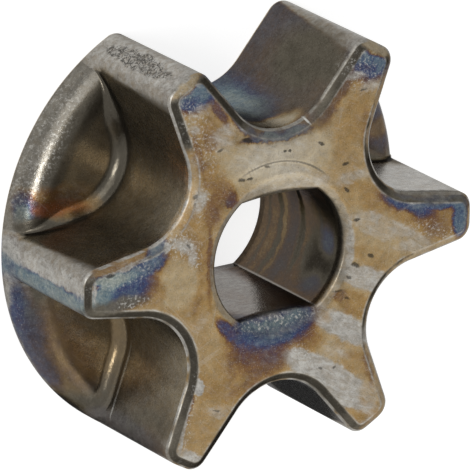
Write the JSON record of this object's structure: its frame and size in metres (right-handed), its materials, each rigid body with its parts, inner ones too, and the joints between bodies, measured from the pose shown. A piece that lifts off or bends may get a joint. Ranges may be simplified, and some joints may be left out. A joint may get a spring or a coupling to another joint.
{
  "type": "chainsaw spur sprocket",
  "caption": "Star-shaped steel drive sprocket with wide rounded gaps, a flange behind part of its teeth and a double-D hole. A flatted shaft turns it and it drives a saw chain.",
  "frame": {"origin": "centre of the shaft hole on the back face, which the part stands on", "axes": "+Z along the shaft axis from the back face to the front face, +X through the tip of one tooth, the flats of the shaft hole face +Y and -Y"},
  "size_m": [0.03, 0.0268, 0.01],
  "materials": {
    "tempered_steel": "satin, heat tinted from straw to blue, scuffed"
  },
  "bodies": {
    "root": {"sprocket": "tempered_steel"}
  },
  "joints": []
}
